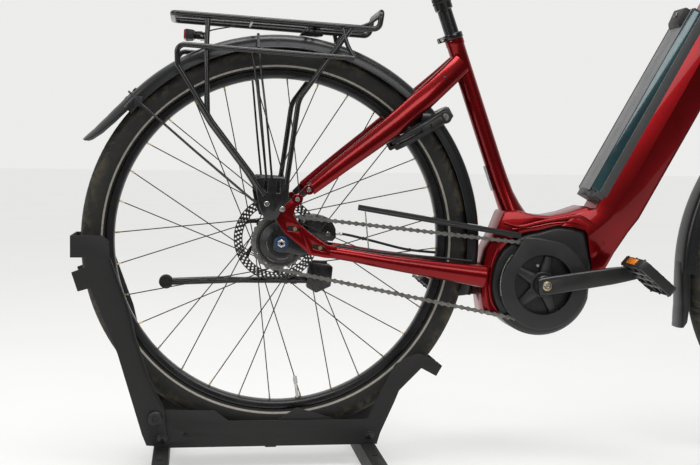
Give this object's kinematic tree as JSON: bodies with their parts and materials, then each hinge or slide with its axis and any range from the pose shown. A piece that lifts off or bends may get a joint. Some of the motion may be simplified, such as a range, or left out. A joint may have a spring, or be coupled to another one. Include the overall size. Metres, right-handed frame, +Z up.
{
  "type": "bicycle on stand",
  "caption": "Low-step city e-bike with mid motor, rack, mudguards and ring lock, its rear wheel held upright in a black folded-steel floor stand.",
  "frame": {"origin": "centre of the whole object's footprint, on the floor", "axes": "+X forward along the bicycle, +Y to the rider's left, +Z up"},
  "size_m": [1.8695, 0.6446, 1.1372],
  "materials": {
    "frame_paint": "metallic red gloss",
    "black_metal": "satin black",
    "black_plastic": "matte black",
    "mudguard_plastic": "satin black",
    "tyre_rubber": "matte",
    "rim_black": "black anodised",
    "bright_steel": "satin",
    "hub_black": "black anodised",
    "crank_grey": "dark grey satin",
    "saddle_cover": "matte",
    "battery_case": "grey with glossy teal sides",
    "lamp_red": "gloss",
    "cable_jacket": "satin",
    "stand_powder_coat": "black powder coat"
  },
  "bodies": {
    "stand": {"stand_rail_right": "stand_powder_coat", "stand_rail_left": "stand_powder_coat", "stand_rear_arm_right": "stand_powder_coat", "stand_rear_arm_left": "stand_powder_coat", "stand_cross_bolt": "black_metal", "wheel_tray": "stand_powder_coat", "stand_foot_rear": "stand_powder_coat", "stand_foot_front": "stand_powder_coat"},
    "frame": {"seat_tube": "frame_paint", "seat_clamp": "black_metal", "head_tube": "frame_paint", "down_tube": "frame_paint", "chainstay_right": "frame_paint", "chainstay_left": "frame_paint", "seatstay_right": "frame_paint", "seatstay_left": "frame_paint", "rear_axle": "bright_steel", "gear_changer": "black_plastic", "motor": "black_plastic", "chainring_guard": "black_plastic", "chain_guard": "black_plastic", "chain": "bright_steel", "rear_brake_caliper": "black_metal", "rear_brake_hose": "cable_jacket", "shift_cable": "cable_jacket", "kickstand_bracket": "black_metal", "ring_lock": "black_plastic", "rear_mudguard": "mudguard_plastic", "mudguard_stay": "black_metal", "rack_top": "black_metal", "rack_side_right": "black_metal", "rack_side_left": "black_metal", "tail_lamp": "lamp_red"},
    "battery": {"battery": "battery_case"},
    "lock_shackle": {"lock_shackle": "bright_steel"},
    "seat": {"seatpost": "black_metal", "saddle": "saddle_cover"},
    "rear_wheel": {"rear_tyre": "tyre_rubber", "rear_rim": "rim_black", "rear_spokes": "bright_steel", "rear_hub": "hub_black", "rear_brake_rotor": "bright_steel"},
    "driver": {"rear_sprocket": "bright_steel"},
    "crankset": {"crank_right": "crank_grey", "crank_left": "crank_grey", "chainring": "bright_steel"},
    "pedal_right": {"pedal_right": "black_plastic"},
    "pedal_left": {"pedal_left": "black_plastic"},
    "kickstand": {"kickstand_leg": "black_metal"},
    "steering": {"fork": "black_metal", "stem": "black_metal", "handlebar": "black_metal", "front_mudguard": "mudguard_plastic"},
    "front_wheel": {"front_tyre": "tyre_rubber", "front_rim": "rim_black", "front_spokes": "bright_steel", "front_hub": "hub_black", "front_brake_rotor": "bright_steel"},
    "brake_lever_right": {"brake_lever_right": "black_metal"},
    "brake_lever_left": {"brake_lever_left": "black_metal"}
  },
  "joints": [
    {"name": "lift_off", "type": "slide", "parent": "stand", "child": "frame", "axis": [0, 0, 1], "range_m": [0, 0.25]},
    {"name": "steer", "type": "hinge", "parent": "frame", "child": "steering", "pos_m": [0.37262, 0, 0.80292], "axis": [-0.3247, 0, 0.9458], "range_deg": [-50, 50]},
    {"name": "front_wheel_spin", "type": "hinge", "parent": "steering", "child": "front_wheel", "pos_m": [0.57893, 0, 0.356], "axis": [0, 1, 0], "continuous": true},
    {"name": "rear_wheel_spin", "type": "hinge", "parent": "frame", "child": "rear_wheel", "pos_m": [-0.56593, 0, 0.407], "axis": [0, 1, 0], "continuous": true},
    {"name": "crank_spin", "type": "hinge", "parent": "frame", "child": "crankset", "pos_m": [-0.07687, 0, 0.33016], "axis": [0, 1, 0], "continuous": true},
    {"name": "sprocket_spin", "type": "hinge", "parent": "frame", "child": "driver", "pos_m": [-0.56593, -0.0405, 0.407], "axis": [0, 1, 0], "continuous": true},
    {"name": "pedal_right_spin", "type": "hinge", "parent": "crankset", "child": "pedal_right", "pos_m": [0.09129, 0, 0.35514], "axis": [0, 1, 0], "continuous": true},
    {"name": "pedal_left_spin", "type": "hinge", "parent": "crankset", "child": "pedal_left", "pos_m": [-0.24502, 0, 0.30518], "axis": [0, 1, 0], "continuous": true},
    {"name": "kickstand_fold", "type": "hinge", "parent": "frame", "child": "kickstand", "pos_m": [-0.48948, 0.088, 0.32552], "axis": [0, -1, 0], "range_deg": [0, 95]},
    {"name": "lock_close", "type": "hinge", "parent": "frame", "child": "lock_shackle", "pos_m": [-0.30829, 0, 0.61354], "axis": [-0.5068, 0, 0.8621], "range_deg": [-68, 0]},
    {"name": "seat_height", "type": "slide", "parent": "frame", "child": "seat", "axis": [-0.333, 0, 0.9429], "range_m": [-0.045, 0.07]},
    {"name": "battery_release", "type": "slide", "parent": "frame", "child": "battery", "axis": [-0.8725, 0, 0.4886], "range_m": [0, 0.09]},
    {"name": "brake_lever_right_pull", "type": "hinge", "parent": "steering", "child": "brake_lever_right", "pos_m": [0.36243, -0.20162, 1.09982], "axis": [-0.5748, 0.4251, -0.6992], "range_deg": [0, 14], "stiffness_Nm_per_rad": 1, "springref_deg": -5.73},
    {"name": "brake_lever_left_pull", "type": "hinge", "parent": "steering", "child": "brake_lever_left", "pos_m": [0.36243, 0.20162, 1.09982], "axis": [0.5748, 0.4251, 0.6992], "range_deg": [0, 14], "stiffness_Nm_per_rad": 1, "springref_deg": -5.73}
  ],
  "couplings": [
    {"joint": "sprocket_spin", "follows": "crank_spin", "ratio": 1.5}
  ]
}
